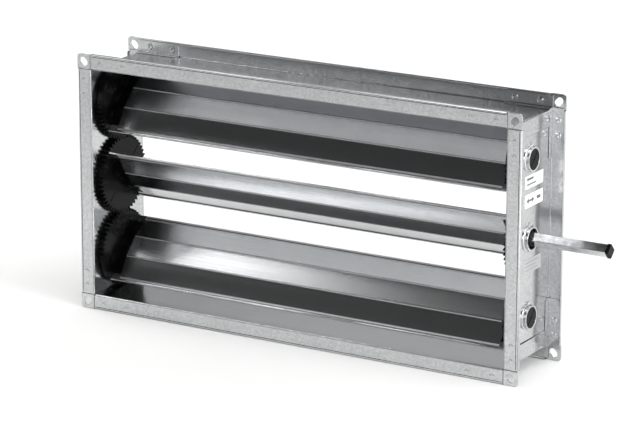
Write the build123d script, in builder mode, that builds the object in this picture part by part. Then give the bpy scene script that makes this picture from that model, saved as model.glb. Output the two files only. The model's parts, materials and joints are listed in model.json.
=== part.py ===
import math
import os

from build123d import *

os.makedirs("parts", exist_ok=True)

# Opening and frame. Origin: centre of the opening on the front flange face.
# X runs along the blades, Y through the frame from front to rear, Z up.
duct_width = 600.0  # clear opening between the side channels
duct_height = 300.0  # clear opening between the top and bottom channels
frame_depth = 118.0  # front flange face to rear flange face
flange_height = 20.0  # opening edge to outer edge of a flange
flange_lip = 5.0  # return along the outer edge of a flange
frame_sheet = 1.25
frame_bend = 1.0  # inside radius of the channel bends
tab_height = 20.0  # end tab of the top and bottom webs, folded over the side

# Corner brackets
bracket_leg = 80.0  # measured from the outer corner of the frame
bracket_sheet = 1.5
bracket_return = 10.0  # depth of the return, from the flange face
bracket_corner_radius = 4.5
bracket_end_radius = 2.5
bracket_edge_gap = 0.3  # corner plate to the ends of the flanges
bracket_lip_gap = 0.2  # edge of a leg to the bend of the flange lip
bracket_bend = 0.5  # inside radius, so that the outside clears the channel's bend
bolt_slot_width = 9.0
bolt_slot_length = 12.5

# Blades
blade_count = 3
axis_offset = 2.0  # blade axes behind the middle of the frame
rest_tilt = 44.0  # chord away from upright in the modelled pose
blade_sheet = 0.8
blade_half_thickness = 7.0
crease_offset = 15.0  # half width of the flat band along the middle
lip_width = 3.6
lip_play = 0.3  # plain lip short of the hem that holds it
hem_width = 2.8
hollow_sag = 0.8  # how far the tapered zones curve inwards
crease_radius = 0.7
hem_radius = 0.6
edge_clearance = 0.4
notch_depth = 12.6  # end of the skin to the gear face
run_on_width = 6.0  # strip of the tapered zone that runs on with each lip
lip_end_gap = 0.5  # end of the lips to the gear face

# Toothed end pieces
gear_teeth = 50
pressure_angle = 20.0
gear_backlash = 0.3
addendum_factor = 0.9
dedendum_factor = 1.3
gear_width = 6.5
tooth_root_overlap = 0.5  # of a tooth's sketch with the root circle
gear_running_gap = 1.4  # wall side of the gear to the side channel
plain_rim_clearance = 1.0
gear_web = 3.0
gear_rim = 4.0  # below the tooth roots
hub_radius = 18.0
socket_side_gap = 0.5  # socket to the strips that pass beside it
face_slot_start = 30.0  # slots in the blade side of the gear, square to the blade
face_slot_length = 14.5
face_slot_width = 1.5
face_slot_depth = 1.0
plug_length = 24.0
plug_half_chord = 24.0
plug_half_thickness = 6.0
plug_edge_half_thickness = 3.2
journal_radius = 13.3
journal_clearance = 0.06
slot_width = 1.4
slot_depth = 0.8
dimple_radius = 1.6

# Bearing collars
collar_wall = 1.8
collar_height = 5.0  # outside the side channel
collar_hole_gap = 0.05
lug_radius = 2.8
lug_offset = 2.0  # lug's centre outside the collar
lug_thickness = 2.0
journal_end_gap = 0.4

# Drive shaft
shaft_size = 12.0
shaft_edge_radius = 0.8
shaft_fit = 0.05
shaft_inside = 100.0  # into the middle blade from the side channel
shaft_outside = 109.0  # beyond the outer face of the side channel
cap_wall = 1.0
cap_sleeve = 3.0
cap_end = 1.4
cap_fit = 0.02
spoke_pocket_depth = 4.0
spoke_width = 1.6
spoke_ring = 1.4

# Sizes that follow from the ones above
half_width = duct_width / 2
half_height = duct_height / 2
outer_half_width = half_width + flange_height
outer_half_height = half_height + flange_height
side_face = half_width + frame_sheet
blade_pitch = duct_height / blade_count
axis_setback = frame_depth / 2 + axis_offset
edge_radius = blade_pitch / 2 - edge_clearance
lip_start = edge_radius - lip_width
notch_half = lip_start - run_on_width
gear_pitch_radius = blade_pitch / 2
gear_module = 2 * gear_pitch_radius / gear_teeth
gear_root_radius = gear_pitch_radius - dedendum_factor * gear_module
gear_tip_radius = gear_pitch_radius + addendum_factor * gear_module
plain_rim_radius = gear_pitch_radius - plain_rim_clearance
tooth_angle = 360 / gear_teeth
gear_outer_face = half_width - gear_running_gap
gear_inner_face = gear_outer_face - gear_width
lip_end = gear_inner_face - lip_end_gap
skin_end = gear_inner_face - notch_depth
plug_end = skin_end - plug_length
collar_bore_radius = journal_radius + journal_clearance
collar_outer_radius = collar_bore_radius + collar_wall
collar_end = side_face + collar_height
journal_end = collar_end - journal_end_gap
shaft_bore = shaft_size + 2 * shaft_fit
shaft_start = half_width - shaft_inside
shaft_end = side_face + shaft_outside


def axis_plane(x, level):
    """Plane across the blade axis at x: local x points rearwards, local y up."""
    return Plane(origin=(x, axis_setback, level), x_dir=(0, 1, 0), z_dir=(1, 0, 0))


def blade_plane(x, level, tilt):
    """Plane across the blade at x: local x along the chord, local y to the front face."""
    chord = (0, math.sin(math.radians(tilt)), math.cos(math.radians(tilt)))
    return Plane(origin=(x, axis_setback, level), x_dir=chord, z_dir=(1, 0, 0))


def face_plane(level, tilt):
    """Plane of the blade itself: local x along the axis, local y along the chord."""
    normal = (0, -math.cos(math.radians(tilt)), math.sin(math.radians(tilt)))
    return Plane(origin=(0, axis_setback, level), x_dir=(1, 0, 0), z_dir=normal)


def mirrored(source, about):
    with BuildPart() as copy:
        mirror(source.part, about=about)
    return copy


def save(piece, name):
    piece.part.label = name
    export_step(piece.part, f"parts/{name}.step")


def channel_section(opening_half):
    """Middle line of a channel's sheet as (depth, distance from the centre) pairs."""
    middle = frame_sheet / 2
    outer = opening_half + flange_height - middle
    inner = opening_half + middle
    return [
        (flange_lip, outer),
        (middle, outer),
        (middle, inner),
        (frame_depth - middle, inner),
        (frame_depth - middle, outer),
        (frame_depth - flange_lip, outer),
    ]


# Frame channels
with BuildPart() as top_channel:
    with BuildSketch(Plane.YZ.offset(-half_width)):
        with BuildLine():
            FilletPolyline(*channel_section(half_height), radius=frame_bend + frame_sheet / 2)
        trace(line_width=frame_sheet)
    extrude(amount=duct_width)
    with BuildSketch(Plane.XZ.offset(-bracket_return)) as tab:
        with BuildLine():
            Polyline(
                (half_width, half_height),
                (side_face, half_height),
                (side_face, half_height - tab_height),
                (side_face + frame_sheet, half_height - tab_height),
                (side_face + frame_sheet, half_height + frame_sheet),
                (half_width, half_height + frame_sheet),
                close=True,
            )
        make_face()
        fillet(tab.vertices().sort_by(Axis.X)[-3:].sort_by(Axis.Y)[-1], frame_sheet)
        mirror(about=Plane.YZ)
    extrude(amount=-(frame_depth - 2 * bracket_return))

with BuildPart() as right_channel:
    with BuildSketch(Plane.XY.offset(-half_height)):
        with BuildLine():
            FilletPolyline(
                *[(distance, depth) for depth, distance in channel_section(half_width)],
                radius=frame_bend + frame_sheet / 2,
            )
        trace(line_width=frame_sheet)
    extrude(amount=duct_height)
    with BuildSketch(Plane.YZ.offset(half_width)):
        with GridLocations(0, blade_pitch, 1, blade_count):
            with Locations((axis_setback, 0)):
                Circle(collar_outer_radius + collar_hole_gap)
    extrude(amount=frame_sheet, mode=Mode.SUBTRACT)

save(top_channel, "top_channel")
save(mirrored(top_channel, Plane.XY), "bottom_channel")
save(right_channel, "right_channel")
save(mirrored(right_channel, Plane.YZ), "left_channel")

# Corner bracket of the front upper right corner: legs behind the flanges, returns
# on the outside of the webs, and a corner plate stepped forward to the flange face
leg_side = half_width + frame_sheet
leg_base = half_height + frame_sheet
leg_depth = frame_sheet + bracket_sheet / 2
leg_margin = frame_sheet + frame_bend + bracket_lip_gap
leg_outer_side = outer_half_width - leg_margin
leg_outer_base = outer_half_height - leg_margin
leg_tip_x = outer_half_width - bracket_leg
leg_tip_z = outer_half_height - bracket_leg

with BuildPart() as corner_bracket:
    with BuildSketch(Plane.XY.offset(leg_tip_z)):
        with BuildLine():
            FilletPolyline(
                (leg_side + bracket_sheet / 2, bracket_return),
                (leg_side + bracket_sheet / 2, leg_depth),
                (leg_outer_side, leg_depth),
                radius=bracket_bend + bracket_sheet / 2,
            )
        trace(line_width=bracket_sheet)
    extrude(amount=leg_base + bracket_sheet - leg_tip_z)
    with BuildSketch(Plane.YZ.offset(leg_tip_x)):
        with BuildLine():
            FilletPolyline(
                (bracket_return, leg_base + bracket_sheet / 2),
                (leg_depth, leg_base + bracket_sheet / 2),
                (leg_depth, leg_outer_base),
                radius=bracket_bend + bracket_sheet / 2,
            )
        trace(line_width=bracket_sheet)
    extrude(amount=leg_side + bracket_sheet - leg_tip_x)
    through = corner_bracket.edges().filter_by(Axis.Y)
    fillet(through.group_by(Axis.X)[0].sort_by(Axis.Z)[-1], bracket_end_radius)
    through = corner_bracket.edges().filter_by(Axis.Y)
    fillet(through.group_by(Axis.Z)[0].sort_by(Axis.X)[-1], bracket_end_radius)
    with BuildSketch(Plane.XZ) as plate:
        with BuildLine():
            Polyline(
                (half_width + bracket_edge_gap, half_height + bracket_edge_gap),
                (outer_half_width, half_height + bracket_edge_gap),
                (outer_half_width, outer_half_height),
                (half_width + bracket_edge_gap, outer_half_height),
                close=True,
            )
        make_face()
        fillet(plate.vertices().sort_by(Axis.X)[-2:].sort_by(Axis.Y)[-1], bracket_corner_radius)
    extrude(amount=-bracket_sheet)
    with BuildSketch(Plane.XZ):
        with Locations((half_width + flange_height / 2, half_height + flange_height / 2)):
            SlotOverall(bolt_slot_length, bolt_slot_width, rotation=45)
    extrude(amount=-frame_depth / 4, mode=Mode.SUBTRACT)

middle_depth = Plane.XZ.offset(-frame_depth / 2)
for end_name, at_end in (("front", corner_bracket), ("rear", mirrored(corner_bracket, middle_depth))):
    for level_name, at_level in (("top", at_end), ("bottom", mirrored(at_end, Plane.XY))):
        save(at_level, f"{end_name}_{level_name}_right_bracket")
        save(mirrored(at_level, Plane.YZ), f"{end_name}_{level_name}_left_bracket")


# Blades
def skin_section(plane):
    """One sheet of a blade: plain lip, tapered zone, flat band, tapered zone, hemmed lip."""
    inner_half = blade_half_thickness - blade_sheet
    plain_edge = -(edge_radius - blade_sheet - lip_play)
    hem_start = edge_radius - hem_width
    with BuildSketch(plane) as section:
        with BuildLine():
            Line((plain_edge, blade_sheet), (-lip_start, blade_sheet))
            SagittaArc((-lip_start, blade_sheet), (-crease_offset, blade_half_thickness), -hollow_sag)
            Line((-crease_offset, blade_half_thickness), (crease_offset, blade_half_thickness))
            SagittaArc((crease_offset, blade_half_thickness), (lip_start, blade_sheet), -hollow_sag)
            Polyline(
                (lip_start, blade_sheet),
                (edge_radius, blade_sheet),
                (edge_radius, -2 * blade_sheet),
                (hem_start, -2 * blade_sheet),
                (hem_start, -blade_sheet),
                (edge_radius - blade_sheet, -blade_sheet),
                (edge_radius - blade_sheet, 0),
                (lip_start, 0),
            )
            SagittaArc((lip_start, 0), (crease_offset, inner_half), hollow_sag)
            Line((crease_offset, inner_half), (-crease_offset, inner_half))
            SagittaArc((-crease_offset, inner_half), (-lip_start, 0), hollow_sag)
            Polyline((-lip_start, 0), (plain_edge, 0), (plain_edge, blade_sheet))
        make_face()
        creases = section.vertices().group_by(Axis.Y)[-1]
        fillet(creases, crease_radius)
        fillet(section.vertices().group_by(Axis.X)[-1], hem_radius)
    return section.sketch


def blade_skin(level, tilt, half_turn):
    with BuildPart() as skin:
        extrude(skin_section(blade_plane(-lip_end, level, tilt + half_turn)), amount=2 * lip_end)
        with BuildSketch(face_plane(level, tilt)):
            with Locations((skin_end + notch_depth, 0)):
                Rectangle(2 * notch_depth, 2 * notch_half)
            mirror(about=Plane.YZ)
        extrude(amount=2 * blade_half_thickness, both=True, mode=Mode.SUBTRACT)
    return skin


# Toothed end pieces. A flank is the chord of its involute, so meshed teeth stay clear.
def involute(radius):
    base_radius = gear_pitch_radius * math.cos(math.radians(pressure_angle))
    angle = math.acos(base_radius / radius)
    return math.tan(angle) - angle


def tooth_half_angle(radius):
    at_pitch = (math.pi * gear_module / 2 - gear_backlash) / 2 / gear_pitch_radius
    return at_pitch + involute(gear_pitch_radius) - involute(radius)


def on_circle(radius, angle):
    return radius * math.cos(angle), radius * math.sin(angle)


root_angle = tooth_half_angle(gear_root_radius)
tip_angle = tooth_half_angle(gear_tip_radius)
with BuildSketch() as tooth:
    with BuildLine():
        Polyline(
            on_circle(gear_root_radius - tooth_root_overlap, -root_angle),
            on_circle(gear_root_radius, -root_angle),
            on_circle(gear_tip_radius, -tip_angle),
            on_circle(gear_tip_radius, tip_angle),
            on_circle(gear_root_radius, root_angle),
            on_circle(gear_root_radius - tooth_root_overlap, root_angle),
            close=True,
        )
    make_face()


def gear_outline(plane, neighbour_angle):
    """All teeth when neighbour_angle is None, otherwise teeth on that side and a plain rim."""
    with BuildSketch(plane) as outline:
        Circle(gear_root_radius)
        if neighbour_angle is None:
            with PolarLocations(0, gear_teeth, start_angle=90):
                add(tooth.sketch)
        else:
            count = 2 * (gear_teeth // 4 + 1)
            span = (count - 1) * tooth_angle
            away = math.radians(neighbour_angle + 180)
            with BuildLine():
                ends = [on_circle(plain_rim_radius, away + turn * math.pi / 2) for turn in (-1, 0, 1)]
                ThreePointArc(*ends)
                Line(ends[2], ends[0])
            make_face()
            with PolarLocations(0, count, neighbour_angle - span / 2, span, endpoint=True):
                add(tooth.sketch)
    return outline.sketch


def socket_outline(plane):
    """Outer shape of the blade, as wide as the notch leaves room for."""
    with BuildSketch(plane) as outline:
        with BuildLine():
            for side in (1, -1):
                edge = blade_sheet * side
                band = blade_half_thickness * side
                Line((-lip_start, -edge), (-lip_start, 0))
                Line((lip_start, edge), (lip_start, 0))
                SagittaArc((-lip_start, edge), (-crease_offset, band), -hollow_sag * side)
                Line((-crease_offset, band), (crease_offset, band))
                SagittaArc((crease_offset, band), (lip_start, edge), -hollow_sag * side)
        make_face()
        width = 2 * (notch_half - socket_side_gap)
        Rectangle(width, 2 * blade_half_thickness, mode=Mode.INTERSECT)
    return outline.sketch


def end_gear(level, tilt, neighbour_angle, driven):
    recess_start = gear_inner_face + gear_web
    slot_middle = face_slot_start + face_slot_length / 2
    with BuildPart() as gear:
        extrude(gear_outline(axis_plane(gear_inner_face, level), neighbour_angle), amount=gear_width)
        with BuildSketch(blade_plane(gear_inner_face, level, tilt)):
            with Locations((0, slot_middle), (0, -slot_middle)):
                Rectangle(face_slot_width, face_slot_length)
        extrude(amount=face_slot_depth, mode=Mode.SUBTRACT)
        with BuildSketch(axis_plane(recess_start, level)):
            Circle(gear_root_radius - gear_rim)
            Circle(hub_radius, mode=Mode.SUBTRACT)
        extrude(amount=gear_width, mode=Mode.SUBTRACT)
        with BuildSketch(axis_plane(gear_outer_face, level)):
            Circle(journal_radius)
        extrude(amount=journal_end - gear_outer_face)
        extrude(socket_outline(blade_plane(skin_end, level, tilt)), amount=gear_inner_face - skin_end)
        with BuildSketch(blade_plane(plug_end, level, tilt)):
            with BuildLine():
                Polyline(
                    (-plug_half_chord, plug_edge_half_thickness),
                    (-crease_offset, plug_half_thickness),
                    (crease_offset, plug_half_thickness),
                    (plug_half_chord, plug_edge_half_thickness),
                    (plug_half_chord, -plug_edge_half_thickness),
                    (crease_offset, -plug_half_thickness),
                    (-crease_offset, -plug_half_thickness),
                    (-plug_half_chord, -plug_edge_half_thickness),
                    close=True,
                )
            make_face()
        extrude(amount=plug_length)
        if driven:
            with BuildSketch(blade_plane(plug_end, level, tilt)):
                Rectangle(shaft_bore, shaft_bore)
            extrude(amount=journal_end - plug_end, mode=Mode.SUBTRACT)
            with BuildSketch(blade_plane(journal_end - spoke_pocket_depth, level, tilt)):
                Circle(journal_radius - spoke_ring)
                Rectangle(shaft_bore + 2 * spoke_ring, shaft_bore + 2 * spoke_ring, mode=Mode.SUBTRACT)
                Rectangle(spoke_width, 2 * journal_radius, mode=Mode.SUBTRACT)
                Rectangle(2 * journal_radius, spoke_width, mode=Mode.SUBTRACT)
            extrude(amount=spoke_pocket_depth, mode=Mode.SUBTRACT)
        else:
            with BuildSketch(blade_plane(journal_end - slot_depth, level, tilt)):
                SlotOverall(2 * journal_radius - 2 * spoke_ring, slot_width)
                Circle(dimple_radius)
            extrude(amount=slot_depth, mode=Mode.SUBTRACT)
    return gear


def bearing_collar(level):
    lug_centre = collar_outer_radius + lug_offset
    with BuildPart() as collar:
        with BuildSketch(axis_plane(half_width, level)):
            Circle(collar_outer_radius)
        extrude(amount=collar_end - half_width)
        with BuildSketch(axis_plane(side_face, level)):
            with Locations((0, lug_centre)):
                Circle(lug_radius)
        extrude(amount=lug_thickness)
        with BuildSketch(axis_plane(half_width, level)):
            Circle(collar_bore_radius)
        extrude(amount=collar_end - half_width, mode=Mode.SUBTRACT)
    return collar


# Neighbouring blades lean opposite ways. The first and last gears have teeth only
# towards their neighbour, because a full ring would reach past the frame's web.
names = ("bottom", "middle", "top")
driven_blade = "middle"
for index, name in enumerate(names):
    height = (index - (blade_count - 1) / 2) * blade_pitch
    lean = rest_tilt if index % 2 == 0 else -rest_tilt
    facing = {"bottom": 90, "middle": None, "top": 270}[name]
    save(blade_skin(height, lean, 0), f"{name}_blade_front_skin")
    save(blade_skin(height, lean, 180), f"{name}_blade_rear_skin")
    right_gear = end_gear(height, lean, facing, name == driven_blade)
    save(right_gear, f"{name}_blade_right_gear")
    save(mirrored(right_gear, Plane.YZ), f"{name}_blade_left_gear")
    right_collar = bearing_collar(height)
    save(right_collar, f"{name}_right_bearing_collar")
    save(mirrored(right_collar, Plane.YZ), f"{name}_left_bearing_collar")

# Drive shaft with its end cap, square to the middle blade
with BuildPart() as drive_shaft:
    with BuildSketch(blade_plane(shaft_start, 0, -rest_tilt)):
        RectangleRounded(shaft_size, shaft_size, shaft_edge_radius)
    extrude(amount=shaft_end - shaft_start)
save(drive_shaft, "drive_shaft")

cap_size = shaft_size + 2 * (cap_fit + cap_wall)
with BuildPart() as shaft_end_cap:
    with BuildSketch(blade_plane(shaft_end - cap_sleeve, 0, -rest_tilt)):
        RectangleRounded(cap_size, cap_size, shaft_edge_radius + cap_wall)
    extrude(amount=cap_sleeve + cap_end)
    chamfer(shaft_end_cap.faces().sort_by(Axis.X)[-1].edges(), cap_end / 2)
    with BuildSketch(blade_plane(shaft_end - cap_sleeve, 0, -rest_tilt)):
        RectangleRounded(shaft_size + 2 * cap_fit, shaft_size + 2 * cap_fit, shaft_edge_radius)
    extrude(amount=cap_sleeve, mode=Mode.SUBTRACT)
save(shaft_end_cap, "shaft_end_cap")
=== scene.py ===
import json
import math

import bmesh
import bpy
from mathutils import Matrix, Vector


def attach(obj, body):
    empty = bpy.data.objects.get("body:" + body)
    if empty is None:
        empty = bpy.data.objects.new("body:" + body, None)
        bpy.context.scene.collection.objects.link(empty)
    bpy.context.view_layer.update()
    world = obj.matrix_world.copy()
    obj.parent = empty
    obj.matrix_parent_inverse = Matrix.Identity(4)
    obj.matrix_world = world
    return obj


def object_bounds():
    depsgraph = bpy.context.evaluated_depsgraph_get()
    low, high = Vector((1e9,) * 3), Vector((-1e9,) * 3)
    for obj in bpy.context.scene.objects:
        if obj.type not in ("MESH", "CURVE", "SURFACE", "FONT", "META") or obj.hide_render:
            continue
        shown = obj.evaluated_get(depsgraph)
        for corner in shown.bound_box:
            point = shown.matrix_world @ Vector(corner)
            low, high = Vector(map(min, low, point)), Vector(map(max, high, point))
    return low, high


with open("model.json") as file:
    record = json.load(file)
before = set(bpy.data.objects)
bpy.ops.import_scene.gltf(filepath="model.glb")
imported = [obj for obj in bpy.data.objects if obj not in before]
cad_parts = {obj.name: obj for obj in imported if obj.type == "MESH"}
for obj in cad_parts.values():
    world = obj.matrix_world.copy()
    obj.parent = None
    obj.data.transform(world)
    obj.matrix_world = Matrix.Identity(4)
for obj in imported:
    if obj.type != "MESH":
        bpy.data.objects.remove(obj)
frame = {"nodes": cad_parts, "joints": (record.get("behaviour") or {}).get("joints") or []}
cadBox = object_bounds()
print("frame loaded:", len(frame["nodes"]), "nodes")

mm = 0.001
levels = ("top", "middle", "bottom")
sides = {"left": -1, "right": 1}
halves = {"top": 1, "bottom": -1}

# Main sizes in millimetres, worked out from the frame
flangeWidth = 20.0
frameSheet = 1.25
cadLow, cadHigh = ([c / mm for c in corner] for corner in cadBox)
outerHalfWidth = -cadLow[0]  # the left side, where no shaft stands out
outerHalfHeight = -cadLow[2]
halfWidth = outerHalfWidth - flangeWidth  # of the opening
halfHeight = outerHalfHeight - flangeWidth
channelFace = halfWidth + frameSheet  # outside of the side channels
ends = {"front": (0.0, -1), "rear": (cadHigh[1], 1)}  # place of the flange face and its way out
bladeAxes = {joint["child"]: Vector(joint["pos_m"]) / mm for joint in frame["joints"]}


# One node with its settings. A socket given as an input is linked, anything else is set.
def addNode(tree, kind, inputs=None, **settings):
    node = tree.nodes.new(kind)
    for name, value in settings.items():
        setattr(node, name, value)
    for name, value in (inputs or {}).items():
        if isinstance(value, bpy.types.NodeSocket):
            tree.links.new(value, node.inputs[name])
        else:
            node.inputs[name].default_value = value
    return node


# sRGB hex to the linear colour that the shader works in
def linear(hexColour):
    parts = [int(hexColour[i:i + 2], 16) / 255 for i in (1, 3, 5)]
    return tuple(c / 12.92 if c < 0.04045 else ((c + 0.055) / 1.055) ** 2.4 for c in parts) + (1.0,)


def newMaterial(name, roughness, metallic=0.0):
    material = bpy.data.materials.new(name)
    material.use_nodes = True
    shader = material.node_tree.nodes["Principled BSDF"]
    shader.inputs["Metallic"].default_value = metallic
    shader.inputs["Roughness"].default_value = roughness
    return material, material.node_tree, shader


# How many pattern cells fit in a metre when one of them is this many millimetres
def perMetre(sizeInMm):
    return 1 / (sizeInMm * mm)


# Camera at the photograph's viewing angle
cameraSet = {
    "place": (1.9890, -3.2779, 1.0733),
    "turn": 30.71,  # to the left of straight ahead
    "dip": 15.71,  # below the horizon
    "roll": 0.10,
    "lens": 179.9,  # mm
    "sensor": 36,  # mm wide
    "reach": 50,  # m
}


def makeCamera():
    data = bpy.data.cameras.new("camera")
    data.lens = cameraSet["lens"]
    data.sensor_width = cameraSet["sensor"]
    data.clip_end = cameraSet["reach"]
    camera = bpy.data.objects.new("camera", data)
    bpy.context.scene.collection.objects.link(camera)
    turn = Matrix.Rotation(math.radians(cameraSet["turn"]), 4, "Z")
    dip = Matrix.Rotation(math.radians(90 - cameraSet["dip"]), 4, "X")
    roll = Matrix.Rotation(math.radians(cameraSet["roll"]), 4, "Z")
    camera.matrix_world = Matrix.Translation(cameraSet["place"]) @ turn @ dip @ roll
    bpy.context.scene.camera = camera


makeCamera()
print("camera placed")


# Floor: matt white board that the damper stands on
floorSet = {
    "halfWidth": 12.0,  # m
    "level": cadBox[0][2],
    "colour": "#F2F2F1",
    "roughness": 0.9,
    "nap": 4.0,  # mm, of the paint roller
    "napHeight": 0.05,
    "glow": (1.9, 3.2),  # m from the damper, over which the board fades into a lit cove
}


def makeFloor():
    reach = floorSet["halfWidth"]
    level = floorSet["level"]
    mesh = bpy.data.meshes.new("floor")
    corners = [(-reach, -reach), (reach, -reach), (reach, reach), (-reach, reach)]
    mesh.from_pydata([(x, y, level) for x, y in corners], [], [(0, 1, 2, 3)])
    floor = bpy.data.objects.new("floor", mesh)
    bpy.context.scene.collection.objects.link(floor)
    # Matt emulsion paint: no gloss, only the faintest nap
    material, tree, shader = newMaterial("rolledMattPaint", floorSet["roughness"])
    shader.inputs["Base Color"].default_value = linear(floorSet["colour"])
    coords = addNode(tree, "ShaderNodeTexCoord").outputs["Object"]
    nap = addNode(tree, "ShaderNodeTexNoise", {"Vector": coords, "Scale": perMetre(floorSet["nap"])})
    bump = addNode(tree, "ShaderNodeBump", {
        "Height": nap.outputs["Fac"], "Distance": floorSet["napHeight"] * mm})
    tree.links.new(bump.outputs["Normal"], shader.inputs["Normal"])
    distance = addNode(tree, "ShaderNodeVectorMath", {0: coords}, operation="LENGTH")
    fadeStart, fadeStop = floorSet["glow"]
    cove = addNode(tree, "ShaderNodeMapRange", {
        "Value": distance.outputs["Value"], "From Min": fadeStart, "From Max": fadeStop})
    shader.inputs["Emission Color"].default_value = linear("#FFFFFF")
    tree.links.new(cove.outputs["Result"], shader.inputs["Emission Strength"])
    mesh.materials.append(material)


makeFloor()

# Soft studio light. Bright sheet metal shows the lights more than its own colour, so the
# boxes stand round the damper where its faces mirror them. Places and sizes are in metres,
# brightness is linear radiance, and a box without an aim faces the damper's middle.
damperMiddle = (0, 0.06, 0)
lightBoxes = {
    "leftHigh": {"place": (-1.81, 0.0, 1.42), "size": (1.45, 1.0), "brightness": 4.3},
    "leftBack": {"place": (-1.95, 1.12, 0.48), "size": (0.9, 0.5), "brightness": 6.9},
    "frontLeft": {"place": (-1.59, -1.59, 0.48), "size": (1.75, 0.95), "brightness": 0.66},
    "streakOuter": {"place": (-1.6, -0.15, 1.7), "aim": (-0.51, 0.52, -0.1), "size": (0.3, 0.3),
                    "brightness": 7.3},
    "streakMiddle": {"place": (-1.2, -0.15, 1.7), "aim": (-0.11, 0.52, -0.1), "size": (0.5, 0.3),
                     "brightness": 0.94},
    "streakInner": {"place": (-0.9, -0.15, 1.7), "aim": (0.19, 0.52, -0.1), "size": (0.3, 0.3),
                    "brightness": 4.6},
    "streakFront": {"place": (-1.2, -0.45, 1.7), "aim": (-0.11, 0.22, -0.1), "size": (0.25, 0.3),
                    "brightness": 4.8},
    "right": {"place": (1.81, 0.0, 1.42), "size": (1.45, 1.0), "brightness": 2.0},
    "rightHigh": {"place": (1.04, 0.0, 2.05), "size": (1.15, 1.0), "brightness": 2.7},
    "rightFront": {"place": (2.13, -0.38, 0.79), "size": (0.9, 0.5), "brightness": 16.0},
    "frontRight": {"place": (1.59, -1.59, 0.48), "size": (1.75, 0.95), "brightness": 3.8},
    "frontHigh": {"place": (0.52, -0.90, 2.05), "size": (1.15, 1.0), "brightness": 3.3},
    "overhead": {"place": (0.0, 0.1, 2.8), "aim": (0, 0.1, 0), "size": (1.4, 1.2), "brightness": 0.4},
    "back": {"place": (0.0, 2.25, 0.48), "size": (1.0, 0.8), "brightness": 5.2},
    "backLow": {"place": (-1.15, 1.91, 0.56), "size": (1.3, 0.6), "brightness": 0.38},
    "backWash": {"place": (2.2, 2.6, 2.4), "aim": (0.9, 1.9, -0.17), "size": (2.6, 2.2), "brightness": 1.5},
    "leftWash": {"place": (-1.5, 3.6, 2.4), "aim": (-1.5, 3.0, -0.17), "size": (2.6, 2.0),
                 "brightness": 2.45},
}
# Linear radiance of the sky: black flags round the metal, before a backdrop that looks pale
skyTone = {"lighting": 0.03, "seen": 0.95}


def makeLights():
    for name, box in lightBoxes.items():
        data = bpy.data.lights.new(name, "AREA")
        data.shape = "RECTANGLE"
        data.size, data.size_y = box["size"]
        data.energy = math.pi * data.size * data.size_y * box["brightness"]
        lamp = bpy.data.objects.new(name, data)
        bpy.context.scene.collection.objects.link(lamp)
        lamp.location = box["place"]
        towards = Vector(box.get("aim", damperMiddle)) - Vector(box["place"])
        lamp.rotation_euler = towards.to_track_quat("-Z", "Y").to_euler()
        lamp.visible_camera = False


def makeSky():
    sky = bpy.data.worlds.new("studioWalls")
    sky.use_nodes = True
    tree = sky.node_tree
    background = tree.nodes["Background"]
    background.inputs["Color"].default_value = linear("#FFFFFF")
    seen = addNode(tree, "ShaderNodeLightPath").outputs["Is Camera Ray"]
    tone = addNode(tree, "ShaderNodeMapRange", {
        "Value": seen, "To Min": skyTone["lighting"], "To Max": skyTone["seen"]})
    tree.links.new(tone.outputs["Result"], background.inputs["Strength"])
    bpy.context.scene.world = sky


makeLights()
makeSky()
bpy.context.scene.view_settings.view_transform = "Standard"
print("floor and lights placed")


# Noise drawn out into lines along one axis, by the gap and the length that a finish gives
def addLines(tree, coords, look, along, detail):
    lineScale = [perMetre(look["lineGap"])] * 3
    lineScale["XYZ".index(along)] = perMetre(look["lineLength"])
    stretched = addNode(tree, "ShaderNodeVectorMath", {0: coords, 1: lineScale}, operation="MULTIPLY")
    lines = addNode(tree, "ShaderNodeTexNoise", {
        "Vector": stretched.outputs["Vector"], "Scale": 1, "Detail": detail})
    return lines.outputs["Fac"]


# Hot-dip galvanised sheet, skin passed: bright zinc with a small soft spangle, cloudy
# patches of oxide, and faint rolling lines along the strip. It mirrors what is close.
galvanised = {
    "bright": "#D2D3D4",
    "dull": "#B6B8BA",
    "roughness": (0.14, 0.20),  # of bright and of dull patches
    "spangle": 1.7,  # mm across one crystal
    "drift": 7.0,  # mm between the bends in the crystals' borders
    "driftReach": 4.0,
    "cloud": 40.0,  # mm
    "lineGap": 1.8,  # mm, drawn coarser than the real 0.1 mm so that it shows
    "lineLength": 140.0,
    "shares": (0.45, 0.30, 0.25),  # of crystals, clouds and lines in the tone
    "toneSpread": (0.27, 0.73),  # of the mixed patterns, from dull to bright
    "wave": 110.0,  # mm between the soft buckles of thin sheet
    "waveHeight": 0.03,
    "grainHeight": 0.0015,
    "edgeRadius": 0.9,
    "creviceReach": 1.3,  # mm from a seam over which painted shade darkens the colour
    "creviceTone": 0.25,
    "creviceSpread": (0.45, 0.95),  # how open the seam and the free sheet lie
}


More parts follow.
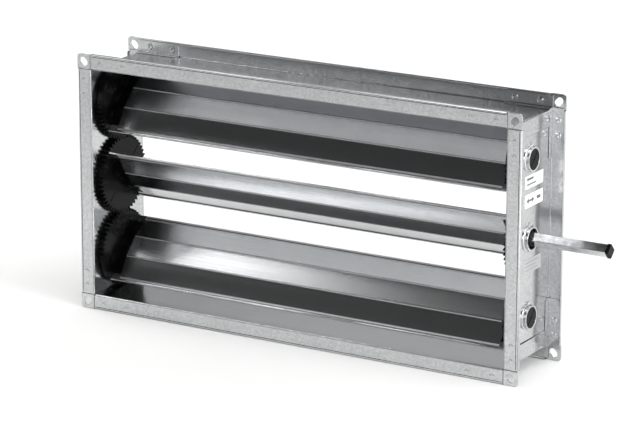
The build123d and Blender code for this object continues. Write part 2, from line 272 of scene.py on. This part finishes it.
def galvanisedSheet(name, look, along):
    material, tree, shader = newMaterial(name, look["roughness"][0], metallic=1.0)
    coords = addNode(tree, "ShaderNodeTexCoord").outputs["Object"]
    drift = addNode(tree, "ShaderNodeTexNoise", {
        "Vector": coords, "Scale": perMetre(look["drift"]), "Detail": 2})
    warped = addNode(tree, "ShaderNodeVectorMath", {
        0: drift.outputs["Color"], 1: [look["driftReach"] * mm] * 3, 2: coords}, operation="MULTIPLY_ADD")
    crystals = addNode(tree, "ShaderNodeTexVoronoi", {
        "Vector": warped.outputs["Vector"], "Scale": perMetre(look["spangle"])})
    crystalTone = addNode(tree, "ShaderNodeSeparateColor", {"Color": crystals.outputs["Color"]})
    cloud = addNode(tree, "ShaderNodeTexNoise", {
        "Vector": coords, "Scale": perMetre(look["cloud"]), "Detail": 3})
    lines = addLines(tree, coords, look, along, 3)

    tone = 0.0
    patterns = (crystalTone.outputs["Red"], cloud.outputs["Fac"], lines)
    for pattern, share in zip(patterns, look["shares"]):
        mixed = addNode(tree, "ShaderNodeMath", {0: pattern, 1: share, 2: tone}, operation="MULTIPLY_ADD")
        tone = mixed.outputs["Value"]
    toneLow, toneHigh = look["toneSpread"]
    spread = {"Value": tone, "From Min": toneLow, "From Max": toneHigh}
    ramp = addNode(tree, "ShaderNodeValToRGB", {
        "Fac": addNode(tree, "ShaderNodeMapRange", spread).outputs["Result"]})
    ramp.color_ramp.elements[0].color = linear(look["dull"])
    ramp.color_ramp.elements[1].color = linear(look["bright"])
    # Painted shade: ambient occlusion darkens the colour near seams, edges and inner corners
    crevice = addNode(tree, "ShaderNodeAmbientOcclusion", {
        "Distance": look["creviceReach"] * mm}, samples=8)
    seamOpen, sheetOpen = look["creviceSpread"]
    shadow = addNode(tree, "ShaderNodeMapRange", {
        "Value": crevice.outputs["AO"], "From Min": seamOpen, "From Max": sheetOpen,
        "To Min": look["creviceTone"]})
    paintedShadeColour = addNode(tree, "ShaderNodeVectorMath", {
        0: ramp.outputs["Color"], 1: shadow.outputs["Result"]}, operation="MULTIPLY")
    tree.links.new(paintedShadeColour.outputs["Vector"], shader.inputs["Base Color"])
    smooth, rough = look["roughness"]
    gloss = addNode(tree, "ShaderNodeMapRange", dict(spread, **{"To Min": rough, "To Max": smooth}))
    tree.links.new(gloss.outputs["Result"], shader.inputs["Roughness"])

    edge = addNode(tree, "ShaderNodeBevel", {"Radius": look["edgeRadius"] * mm}, samples=4)
    buckle = addNode(tree, "ShaderNodeTexNoise", {
        "Vector": coords, "Scale": perMetre(look["wave"]), "Detail": 1})
    soft = addNode(tree, "ShaderNodeBump", {
        "Height": buckle.outputs["Fac"], "Distance": look["waveHeight"] * mm,
        "Normal": edge.outputs["Normal"]})
    fine = addNode(tree, "ShaderNodeBump", {
        "Height": lines, "Distance": look["grainHeight"] * mm, "Normal": soft.outputs["Normal"]})
    tree.links.new(fine.outputs["Normal"], shader.inputs["Normal"])
    return material


# Roll-formed galvanised strip of the blades: brighter, with the rollers' long streaks
rolledStrip = dict(galvanised, bright="#DCDDDE", dull="#C8CACC", roughness=(0.17, 0.23), cloud=60.0,
                   lineGap=2.4, lineLength=700.0, shares=(0.08, 0.22, 0.70), waveHeight=0.02,
                   edgeRadius=0.4)

# The same strip where rollers have rubbed it matt: it gathers light from all round
burnishedStrip = dict(rolledStrip, roughness=(0.42, 0.50))

# Pressed galvanised steel of the corner brackets: a little brighter, its buckles flatter
pressedPlate = dict(galvanised, bright="#D6D7D8", dull="#BABCBE", roughness=(0.17, 0.22), waveHeight=0.02)


# Bright zinc plate over drawn or turned steel: nearly a mirror, with fine tool lines
zincPlate = {
    "colour": "#E2E3E4",
    "stain": "#BFC0C2",
    "roughness": (0.13, 0.24),  # of clean and of stained plate
    "lineGap": 1.0,  # mm, drawn coarser than the real 0.05 mm so that it shows
    "lineLength": 60.0,
    "lineHeight": 0.010,
    "lineShare": 0.6,  # of the lines in the tone, beside the stains
    "stainSize": 9.0,  # mm
    "toneSpread": (0.6, 1.0),  # of the mixed patterns, from clean to stained
    "edgeRadius": 0.4,
}


def zincPlatedSteel(name, along):
    look = zincPlate
    material, tree, shader = newMaterial(name, look["roughness"][0], metallic=1.0)
    coords = addNode(tree, "ShaderNodeTexCoord").outputs["Object"]
    lines = addLines(tree, coords, look, along, 4)
    stain = addNode(tree, "ShaderNodeTexNoise", {
        "Vector": coords, "Scale": perMetre(look["stainSize"]), "Detail": 4})
    tone = addNode(tree, "ShaderNodeMath", {
        0: lines, 1: look["lineShare"], 2: stain.outputs["Fac"]}, operation="MULTIPLY_ADD")
    clean, stained = look["toneSpread"]
    spread = {"Value": tone.outputs["Value"], "From Min": clean, "From Max": stained}
    ramp = addNode(tree, "ShaderNodeValToRGB", {
        "Fac": addNode(tree, "ShaderNodeMapRange", spread).outputs["Result"]})
    ramp.color_ramp.elements[0].color = linear(look["colour"])
    ramp.color_ramp.elements[1].color = linear(look["stain"])
    tree.links.new(ramp.outputs["Color"], shader.inputs["Base Color"])
    smooth, rough = look["roughness"]
    gloss = addNode(tree, "ShaderNodeMapRange", dict(spread, **{"To Min": smooth, "To Max": rough}))
    tree.links.new(gloss.outputs["Result"], shader.inputs["Roughness"])
    edge = addNode(tree, "ShaderNodeBevel", {"Radius": look["edgeRadius"] * mm}, samples=4)
    bump = addNode(tree, "ShaderNodeBump", {
        "Height": lines, "Distance": look["lineHeight"] * mm, "Normal": edge.outputs["Normal"]})
    tree.links.new(bump.outputs["Normal"], shader.inputs["Normal"])
    return material


# Glass-filled polyamide, injection moulded: black and satin, with a fine spark-eroded
# texture, greyer along its flow marks
mouldedPolyamide = {
    "colour": "#040405",
    "scuff": "#101112",
    "roughness": (0.20, 0.30),
    "sheen": 0.09,
    "grain": 0.9,  # mm, drawn coarser than the real 0.2 mm so that it shows
    "grainHeight": 0.02,
    "flow": 14.0,  # mm between the cloudy flow marks
    "toneSpread": (0.42, 0.80),  # of the flow marks, from black to grey
    "glossSpread": (0.3, 0.7),
    "edgeRadius": 0.3,
}


def blackPolyamide():
    look = mouldedPolyamide
    material, tree, shader = newMaterial("mouldedPolyamide", look["roughness"][0])
    shader.inputs["Specular IOR Level"].default_value = look["sheen"]
    coords = addNode(tree, "ShaderNodeTexCoord").outputs["Object"]
    grain = addNode(tree, "ShaderNodeTexNoise", {
        "Vector": coords, "Scale": perMetre(look["grain"]), "Detail": 2})
    flow = addNode(tree, "ShaderNodeTexNoise", {
        "Vector": coords, "Scale": perMetre(look["flow"]), "Detail": 4})
    black, grey = look["toneSpread"]
    ramp = addNode(tree, "ShaderNodeValToRGB", {"Fac": addNode(tree, "ShaderNodeMapRange", {
        "Value": flow.outputs["Fac"], "From Min": black, "From Max": grey}).outputs["Result"]})
    ramp.color_ramp.elements[0].color = linear(look["colour"])
    ramp.color_ramp.elements[1].color = linear(look["scuff"])
    tree.links.new(ramp.outputs["Color"], shader.inputs["Base Color"])
    smooth, rough = look["roughness"]
    glossLow, glossHigh = look["glossSpread"]
    gloss = addNode(tree, "ShaderNodeMapRange", {
        "Value": flow.outputs["Fac"], "From Min": glossLow, "From Max": glossHigh,
        "To Min": smooth, "To Max": rough})
    tree.links.new(gloss.outputs["Result"], shader.inputs["Roughness"])
    edge = addNode(tree, "ShaderNodeBevel", {"Radius": look["edgeRadius"] * mm}, samples=4)
    bump = addNode(tree, "ShaderNodeBump", {
        "Height": grain.outputs["Fac"], "Distance": look["grainHeight"] * mm,
        "Normal": edge.outputs["Normal"]})
    tree.links.new(bump.outputs["Normal"], shader.inputs["Normal"])
    return material


# Coated label paper: white, faintly fibrous, with a weak sheen from its varnish
coatedPaper = {"colour": "#F1F1EF", "shade": "#DEDEDB", "roughness": 0.5, "fibre": 1.2, "fibreHeight": 0.015}

# Silver label film of the lower label, which hardly stands out from the sheet
silverFilm = dict(coatedPaper, colour="#BFC0C1", shade="#A9AAAB")


def labelStock(name, look):
    material, tree, shader = newMaterial(name, look["roughness"])
    coords = addNode(tree, "ShaderNodeTexCoord").outputs["Object"]
    fibre = addNode(tree, "ShaderNodeTexNoise", {
        "Vector": coords, "Scale": perMetre(look["fibre"]), "Detail": 3})
    ramp = addNode(tree, "ShaderNodeValToRGB", {"Fac": fibre.outputs["Fac"]})
    ramp.color_ramp.elements[0].color = linear(look["shade"])
    ramp.color_ramp.elements[1].color = linear(look["colour"])
    tree.links.new(ramp.outputs["Color"], shader.inputs["Base Color"])
    bump = addNode(tree, "ShaderNodeBump", {
        "Height": fibre.outputs["Fac"], "Distance": look["fibreHeight"] * mm})
    tree.links.new(bump.outputs["Normal"], shader.inputs["Normal"])
    return material


# Printed toner on the labels: dark grey, a little uneven, and faded on the silver film
printedToner = {"dark": "#3A3A3B", "pale": "#777778", "roughness": 0.6, "patch": 1.5}
fadedToner = dict(printedToner, dark="#6E6F70", pale="#8C8D8E")

# Rolling oil and dust in a seam, and painted shade in gaps, slits, grooves and beside beads: a thin dull
# dark line
oilDustAndPaintedShade = {"dark": "#161718", "pale": "#3C3D3E", "roughness": 0.7, "patch": 12.0}


def patchyCoat(name, look):
    material, tree, shader = newMaterial(name, look["roughness"])
    coords = addNode(tree, "ShaderNodeTexCoord").outputs["Object"]
    patches = addNode(tree, "ShaderNodeTexNoise", {
        "Vector": coords, "Scale": perMetre(look["patch"]), "Detail": 3})
    ramp = addNode(tree, "ShaderNodeValToRGB", {"Fac": patches.outputs["Fac"]})
    ramp.color_ramp.elements[0].color = linear(look["dark"])
    ramp.color_ramp.elements[1].color = linear(look["pale"])
    tree.links.new(ramp.outputs["Color"], shader.inputs["Base Color"])
    return material


finishes = {
    "channelAlong": galvanisedSheet("galvanisedSheetAlong", galvanised, "X"),
    "channelUpright": galvanisedSheet("galvanisedSheetUpright", galvanised, "Z"),
    "bracket": galvanisedSheet("pressedGalvanisedPlate", pressedPlate, "X"),
    "blade": galvanisedSheet("rollFormedGalvanisedStrip", rolledStrip, "X"),
    "worn": galvanisedSheet("burnishedGalvanisedStrip", burnishedStrip, "X"),
    "collar": zincPlatedSteel("turnedZincPlatedSteel", "Y"),
    "shaft": zincPlatedSteel("drawnZincPlatedSteel", "X"),
    "plastic": blackPolyamide(),
    "paper": labelStock("coatedPaper", coatedPaper),
    "toner": patchyCoat("printedToner", printedToner),
    "film": labelStock("silverLabelFilm", silverFilm),
    "faintToner": patchyCoat("fadedToner", fadedToner),
    "seam": patchyCoat("oilDustAndPaintedShade", oilDustAndPaintedShade),
}
print("materials made:", len(finishes))


# Which finish each carried-over node shows, by a word in its name
finishWords = [
    ("gear", "plastic"),
    ("cap", "plastic"),
    ("collar", "collar"),
    ("shaft", "shaft"),
    ("bracket", "bracket"),
    ("skin", "blade"),
    ("left_channel", "channelUpright"),
    ("right_channel", "channelUpright"),
    ("channel", "channelAlong"),
]
for name, node in frame["nodes"].items():
    finish = next(finish for word, finish in finishWords if word in name)
    node.data.materials.clear()
    node.data.materials.append(finishes[finish])
print("finishes given to the frame's nodes")


# Keeps a mesh made in this script, puts its finish on, and hangs it on its body
def keepPiece(name, mesh, materials, body):
    shape = bpy.data.meshes.new(name)
    mesh.to_mesh(shape)
    mesh.free()
    for material in materials:
        shape.materials.append(finishes[material])
    piece = bpy.data.objects.new(name, shape)
    bpy.context.scene.collection.objects.link(piece)
    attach(piece, body)


# Turns a profile of (radius, height) in millimetres round an axis and adds it to the mesh
def addTurned(mesh, profile, place, axis, steps):
    facing = axis.to_track_quat("Z", "Y")
    rings = []
    for radius, height in profile:
        count = 1 if radius == 0 else steps
        ring = []
        for step in range(count):
            angle = 2 * math.pi * step / steps
            corner = Vector((radius * math.cos(angle), radius * math.sin(angle), height)) * mm
            ring.append(mesh.verts.new(Vector(place) * mm + facing @ corner))
        rings.append(ring)
    for inner, outer in zip(rings, rings[1:]):
        for step in range(steps):
            after = (step + 1) % steps
            corners = [inner[step % len(inner)], inner[after % len(inner)],
                       outer[after % len(outer)], outer[step % len(outer)]]
            distinct = list(dict.fromkeys(corners))
            face = mesh.faces.new(distinct)
            face.smooth = True


# One bar of a section's shape, from start to stop, all in millimetres. A section of more
# than eight points is a round one.
def addBar(mesh, section, start, stop, materialIndex=0):
    rows = [[mesh.verts.new((end + point) * mm) for point in section] for end in (start, stop)]
    faces = [mesh.faces.new(rows[0]), mesh.faces.new(rows[1])]
    for i in range(len(section)):
        j = (i + 1) % len(section)
        side = mesh.faces.new((rows[0][i], rows[0][j], rows[1][j], rows[1][i]))
        side.smooth = len(section) > 8
        faces.append(side)
    for face in faces:
        face.material_index = materialIndex


# Clinch points that join the brackets to the flanges: two raised strokes on the flange face
# where the sheet is lanced, and behind it a raised button with the punch's pit
clinch = {
    "level": (35.0, 70.0),  # mm from the outer corner along the level leg
    "upright": (33.0, 52.0),  # and along the upright one
    "fromEdge": 10.0,  # mm from the outer edge of the flange
    "sheets": 2.75,  # mm, flange and bracket together
    "strokes": [(-2.6, -1.1), (0.0, 1.5), (2.6, -1.1)],  # (across, up) of the corners
    "strokeSection": [(-0.55, -0.03), (-0.12, 0.42), (0.12, 0.42), (0.55, -0.03)],
    "button": [(0, 0.08), (1.0, 0.10), (1.6, 0.34), (2.4, 0.52), (3.2, 0.46), (3.9, 0.20),
               (4.3, -0.05)],  # (radius, height off the bracket)
    "buttonSides": 28,
}


# The eight flange corners: name, place of the flange face, and the ways right, out and up
def flangeCorners():
    for end, (face, outwards) in ends.items():
        for half, up in halves.items():
            for side, right in sides.items():
                yield f"{end}_{half}_{side}", face, right, outwards, up


def makeClinchPoints():
    onLevel = [(along, clinch["fromEdge"]) for along in clinch["level"]]
    onUpright = [(clinch["fromEdge"], along) for along in clinch["upright"]]
    for corner, face, right, outwards, up in flangeCorners():
        out = Vector((0, outwards, 0))
        behind = face - outwards * clinch["sheets"]
        mesh = bmesh.new()
        for fromSide, fromEnd in onLevel + onUpright:
            x, z = right * (outerHalfWidth - fromSide), up * (outerHalfHeight - fromEnd)
            points = [Vector((x + across, face, z + rise)) for across, rise in clinch["strokes"]]
            for start, stop in zip(points, points[1:]):
                wide = (stop - start).normalized().cross(out)
                section = [wide * off + out * high for off, high in clinch["strokeSection"]]
                addBar(mesh, section, start, stop)
            addTurned(mesh, clinch["button"], (x, behind, z), -out, clinch["buttonSides"])
        bmesh.ops.recalc_face_normals(mesh, faces=mesh.faces)
        keepPiece(f"{corner}_clinch_points", mesh, ["bracket"], "root")


makeClinchPoints()
print("clinch points made")


# Root of each bearing collar: the lip that is rolled out against the channel
collarRoot = {
    # (radius, height off the channel)
    "lip": [(15.05, 1.1), (15.35, 1.05), (15.75, 0.8), (16.15, 0.5), (16.4, 0.3), (16.5, -0.05)],
    "steps": 72,
}


def makeCollarRoots():
    for level in levels:
        for side, right in sides.items():
            place = bladeAxes[f"{level}_blade"] + Vector((right * channelFace, 0, 0))
            mesh = bmesh.new()
            addTurned(mesh, collarRoot["lip"], place, Vector((right, 0, 0)), collarRoot["steps"])
            keepPiece(f"{level}_{side}_collar_root", mesh, ["collar"], "root")


makeCollarRoots()
print("collar roots made")


# Lines along the blades: the bead that the rollers leave on each crease with a dark line of
# painted shade on both sides, the strips that they burnish matt, the dark seam before each lip,
# the round fold of the hem and a dark shell of painted shade over the underside of it. Edge 1 is
# the upper one, face 1 the front one, and sections are (along the chord, off the surface) in mm.
foldRadius = 1.26
allFour = ((1, 1), (1, -1), (-1, 1), (-1, -1))


def arcPoints(first, last, steps, radius):
    angles = [math.radians(first + (last - first) * i / steps) for i in range(steps)]
    return [(radius * math.cos(angle), radius * math.sin(angle)) for angle in angles]


bladeLines = {
    "bead": {"finish": "worn", "chord": 15.0, "surface": 7.0, "places": allFour,
             "section": [(-0.80, -0.04), (-0.45, 0.14), (0.0, 0.20), (0.45, 0.06), (0.80, -0.28)]},
    # Painted shade: dark lines beside each crease bead
    "outer_painted_shade": {"finish": "seam", "chord": 16.3, "surface": 6.61, "places": allFour,
                   "section": [(-0.38, 0.07), (-0.38, 0.15), (0.38, -0.07), (0.38, -0.15)]},
    "inner_painted_shade": {"finish": "seam", "chord": 13.8, "surface": 7.0, "places": allFour,
                   "section": [(-0.20, -0.03), (-0.20, 0.03), (0.20, 0.03), (0.20, -0.03)]},
    "burnish": {"finish": "worn", "chord": 44.5, "surface": 0.95, "places": allFour,
                "section": [(-1.4, 0.10), (-1.1, 0.22), (1.1, -0.01), (1.4, -0.19)]},
    "seam": {"finish": "seam", "chord": 46.35, "surface": 0.8, "places": allFour,
             "section": [(-0.50, -0.04), (-0.50, 0.14), (0.45, 0.10), (0.45, -0.04)]},
    "lip": {"finish": "worn", "chord": 48.2, "surface": 0.8, "places": ((1, 1), (-1, -1)),
            "section": [(-1.2, -0.02), (-1.1, 0.05), (1.0, 0.05), (1.1, -0.02)]},
    "fold": {"finish": "blade", "chord": 48.38, "surface": 0.4, "places": ((1, -1), (-1, 1)),
             "section": arcPoints(0, 360, 20, foldRadius)},
    "fold_painted_shade": {"finish": "seam", "chord": 48.38, "surface": 0.4, "places": ((-1, 1),),
            "section": (arcPoints(-60, 40, 10, foldRadius + 0.05)
                        + arcPoints(40, -60, 10, foldRadius - 0.1))},  # thin dark shell over the fold, painted shade
}
bladeStand = {
    "lean": {"top": 44.0, "middle": -44.0, "bottom": 44.0},  # degrees, of the chord from upright
    "reach": 279.3,  # mm from the middle to either end
}


def makeBladeLines():
    along = Vector((bladeStand["reach"], 0, 0))
    for level in levels:
        angle = math.radians(bladeStand["lean"][level])
        chord = Vector((0, math.sin(angle), math.cos(angle)))
        outwards = Vector((0, -math.cos(angle), math.sin(angle)))
        body = f"{level}_blade"
        for kind, line in bladeLines.items():
            mesh = bmesh.new()
            for edge, face in line["places"]:
                middle = bladeAxes[body] + chord * edge * line["chord"] + outwards * face * line["surface"]
                section = [chord * edge * out + outwards * face * up for out, up in line["section"]]
                addBar(mesh, section, middle - along, middle + along)
            bmesh.ops.recalc_face_normals(mesh, faces=mesh.faces)
            keepPiece(f"{body}_{kind}_lines", mesh, [line["finish"]], body)


makeBladeLines()
print("blade lines made")


# Joints between the corner plates and the flanges' ends: a dark bar of painted shade over the gap
# beside the rolled-over edge of the plate, which shows as a thin bright line
cornerJoint = {
    "start": 0.5,  # mm from the opening's edge
    "stop": 19.2,
    "gap": 0.15,  # mm, middle of the gap outside the opening's edge
    "gapSection": [(-0.35, -0.03), (-0.35, 0.05), (0.35, 0.05), (0.35, -0.03)],
    "edge": 0.85,
    "edgeSection": [(-0.45, -0.03), (-0.28, 0.20), (0.0, 0.28), (0.28, 0.20), (0.45, -0.03)],
}


def makeCornerJoints():
    start, stop = cornerJoint["start"], cornerJoint["stop"]
    for corner, face, right, outwards, up in flangeCorners():
        mesh = bmesh.new()
        for kind, materialIndex in (("gap", 1), ("edge", 0)):
            off = cornerJoint[kind]
            section = cornerJoint[f"{kind}Section"]
            x, z = right * (halfWidth + off), up * (halfHeight + off)
            across = [Vector((wide, outwards * high, 0)) for wide, high in section]
            addBar(mesh, across, Vector((x, face, up * (halfHeight + start))),
                   Vector((x, face, up * (halfHeight + stop))), materialIndex)
            across = [Vector((0, outwards * high, wide)) for wide, high in section]
            addBar(mesh, across, Vector((right * (halfWidth + start), face, z)),
                   Vector((right * (halfWidth + stop), face, z)), materialIndex)
        bmesh.ops.recalc_face_normals(mesh, faces=mesh.faces)
        keepPiece(f"{corner}_corner_joints", mesh, ["bracket", "seam"], "root")


makeCornerJoints()
print("corner joints made")


# Dark slits where the brackets' returns end on the webs: a dark bar of painted shade along the cut edge
returnSlits = {
    "fromFlange": 10.35,  # mm behind the flange face
    "upright": (93.0, 128.5),  # mm from the middle, along the side webs
    "level": (241.5, 258.0),  # mm from the middle, along the top and bottom webs
    "section": [(-0.35, -0.03), (-0.35, 0.10), (0.35, 0.10), (0.35, -0.03)],
}


def makeReturnSlits():
    for end, (face, outwards) in ends.items():
        y = face - outwards * returnSlits["fromFlange"]
        mesh = bmesh.new()
        for up in halves.values():
            for right in sides.values():
                onSide = [Vector((right * high, wide, 0)) for wide, high in returnSlits["section"]]
                start, stop = returnSlits["upright"]
                x = right * channelFace
                addBar(mesh, onSide, Vector((x, y, up * start)), Vector((x, y, up * stop)))
                onTop = [Vector((0, wide, up * high)) for wide, high in returnSlits["section"]]
                start, stop = returnSlits["level"]
                z = up * (halfHeight + frameSheet)
                addBar(mesh, onTop, Vector((right * start, y, z)), Vector((right * stop, y, z)))
        bmesh.ops.recalc_face_normals(mesh, faces=mesh.faces)
        keepPiece(f"{end}_bracket_slits", mesh, ["seam"], "root")


makeReturnSlits()
print("bracket slits made")


# Lines along the flanges: a dark one of painted shade near the outer edge, and two that
# catch the light, the crest of the bend at the opening and the rubbed brow of the bend at
# the outer edge. Sections are (across the flange, off its face) in mm.
browInset = 1.42  # mm, middle of the brow's round from the edge and behind the face
browRadius = 1.2
flangeLineGap = 1.5  # mm, to the corner plates
flangeLines = {
    # Painted shade: a dark line near the outer edge
    "edge_painted_shade": {"finish": "seam", "fromEdge": 3.1,
             "section": [(-0.40, -0.03), (-0.40, 0.03), (0.40, 0.03), (0.40, -0.03)]},
    "crest": {"finish": "channelAlong", "fromEdge": 19.0,
              "section": [(-0.45, -0.03), (-0.28, 0.16), (0.0, 0.22), (0.28, 0.16), (0.45, -0.03)]},
    "brow": {"finish": "worn", "fromEdge": browInset,
             "section": [(wide, high - browInset) for wide, high in arcPoints(0, 360, 16, browRadius)]},
}


def makeFlangeLines():
    reachX, reachZ = halfWidth - flangeLineGap, halfHeight - flangeLineGap
    lineFinishes = [line["finish"] for line in flangeLines.values()]
    for end, (face, outwards) in ends.items():
        mesh = bmesh.new()
        for materialIndex, line in enumerate(flangeLines.values()):
            across = [Vector((0, outwards * high, wide)) for wide, high in line["section"]]
            upright = [Vector((wide, outwards * high, 0)) for wide, high in line["section"]]
            x, z = outerHalfWidth - line["fromEdge"], outerHalfHeight - line["fromEdge"]
            for turn in (-1, 1):
                addBar(mesh, across, Vector((-reachX, face, turn * z)),
                       Vector((reachX, face, turn * z)), materialIndex)
                addBar(mesh, upright, Vector((turn * x, face, -reachZ)),
                       Vector((turn * x, face, reachZ)), materialIndex)
        bmesh.ops.recalc_face_normals(mesh, faces=mesh.faces)
        keepPiece(f"{end}_flange_lines", mesh, lineFinishes, "root")


makeFlangeLines()
print("flange lines made")


# Labels on the outside of the right channel: plain rules, and on the middle one a double
# arrow for the turning direction. Rules are (left, right, low, high) and the arrow is
# (left, right, height), as shares of the label.
labels = {
    "upper_label": {"y": (47, 95), "z": (63.5, 80), "finishes": ["paper", "toner"],
                    "rules": [(0.10, 0.46, 0.62, 0.80), (0.10, 0.62, 0.25, 0.36)]},
    "arrow_label": {"y": (47, 95), "z": (39.5, 56.5), "finishes": ["paper", "toner"],
                    "rules": [(0.66, 0.86, 0.38, 0.62)], "arrow": (0.10, 0.52, 0.5)},
    "lower_label": {"y": (47, 93), "z": (-44, -26), "finishes": ["film", "faintToner"],
                    "rules": [(0.08, 0.88, 0.74, 0.78), (0.08, 0.70, 0.48, 0.52),
                              (0.08, 0.80, 0.22, 0.26)]},
}
labelBuild = {
    "glue": 0.02,  # mm, under the paper
    "thickness": 0.14,  # mm, glue and paper
    "tonerHeight": 0.02,
    "cornerRadius": 1.2,
    "cornerSteps": 5,
    "arrowHead": 0.34,  # length, as a share of the label's height
    "headSlope": 1.6,  # the head's length over half its width
    "stem": 0.2,  # half its width, as a share of the head's length
}


def addPlate(mesh, outline, bottom, top, materialIndex):
    low = [mesh.verts.new((bottom * mm, y * mm, z * mm)) for y, z in outline]
    high = [mesh.verts.new((top * mm, y * mm, z * mm)) for y, z in outline]
    faces = [mesh.faces.new(high), mesh.faces.new(low[::-1])]
    for i in range(len(outline)):
        j = (i + 1) % len(outline)
        faces.append(mesh.faces.new((low[i], low[j], high[j], high[i])))
    for face in faces:
        face.material_index = materialIndex


def roundedOutline(y0, y1, z0, z1, radius, steps):
    corners = ((y1 - radius, z1 - radius, 0), (y0 + radius, z1 - radius, 90),
               (y0 + radius, z0 + radius, 180), (y1 - radius, z0 + radius, 270))
    outline = []
    for y, z, start in corners:
        for step in range(steps + 1):
            angle = math.radians(start + 90 * step / steps)
            outline.append((y + radius * math.cos(angle), z + radius * math.sin(angle)))
    return outline


def makeLabels():
    paperTop = channelFace + labelBuild["thickness"]
    tonerTop = paperTop + labelBuild["tonerHeight"]
    for name, label in labels.items():
        (y0, y1), (z0, z1) = label["y"], label["z"]
        wide, tall = y1 - y0, z1 - z0
        mesh = bmesh.new()
        outline = roundedOutline(y0, y1, z0, z1, labelBuild["cornerRadius"], labelBuild["cornerSteps"])
        addPlate(mesh, outline, channelFace + labelBuild["glue"], paperTop, 0)
        for left, right, low, high in label["rules"]:
            rule = [(y0 + wide * left, z0 + tall * low), (y0 + wide * right, z0 + tall * low),
                    (y0 + wide * right, z0 + tall * high), (y0 + wide * left, z0 + tall * high)]
            addPlate(mesh, rule, paperTop, tonerTop, 1)
        if "arrow" in label:
            start, stop, middle = label["arrow"]
            head = tall * labelBuild["arrowHead"]
            ya, yb, zm = y0 + wide * start, y0 + wide * stop, z0 + tall * middle
            stem = head * labelBuild["stem"]
            barb = head / labelBuild["headSlope"]
            arrow = [(ya, zm), (ya + head, zm - barb), (ya + head, zm - stem), (yb - head, zm - stem),
                     (yb - head, zm - barb), (yb, zm), (yb - head, zm + barb),
                     (yb - head, zm + stem), (ya + head, zm + stem), (ya + head, zm + barb)]
            addPlate(mesh, arrow, paperTop, tonerTop, 1)
        keepPiece(name, mesh, label["finishes"], "root")


makeLabels()
print("labels made")
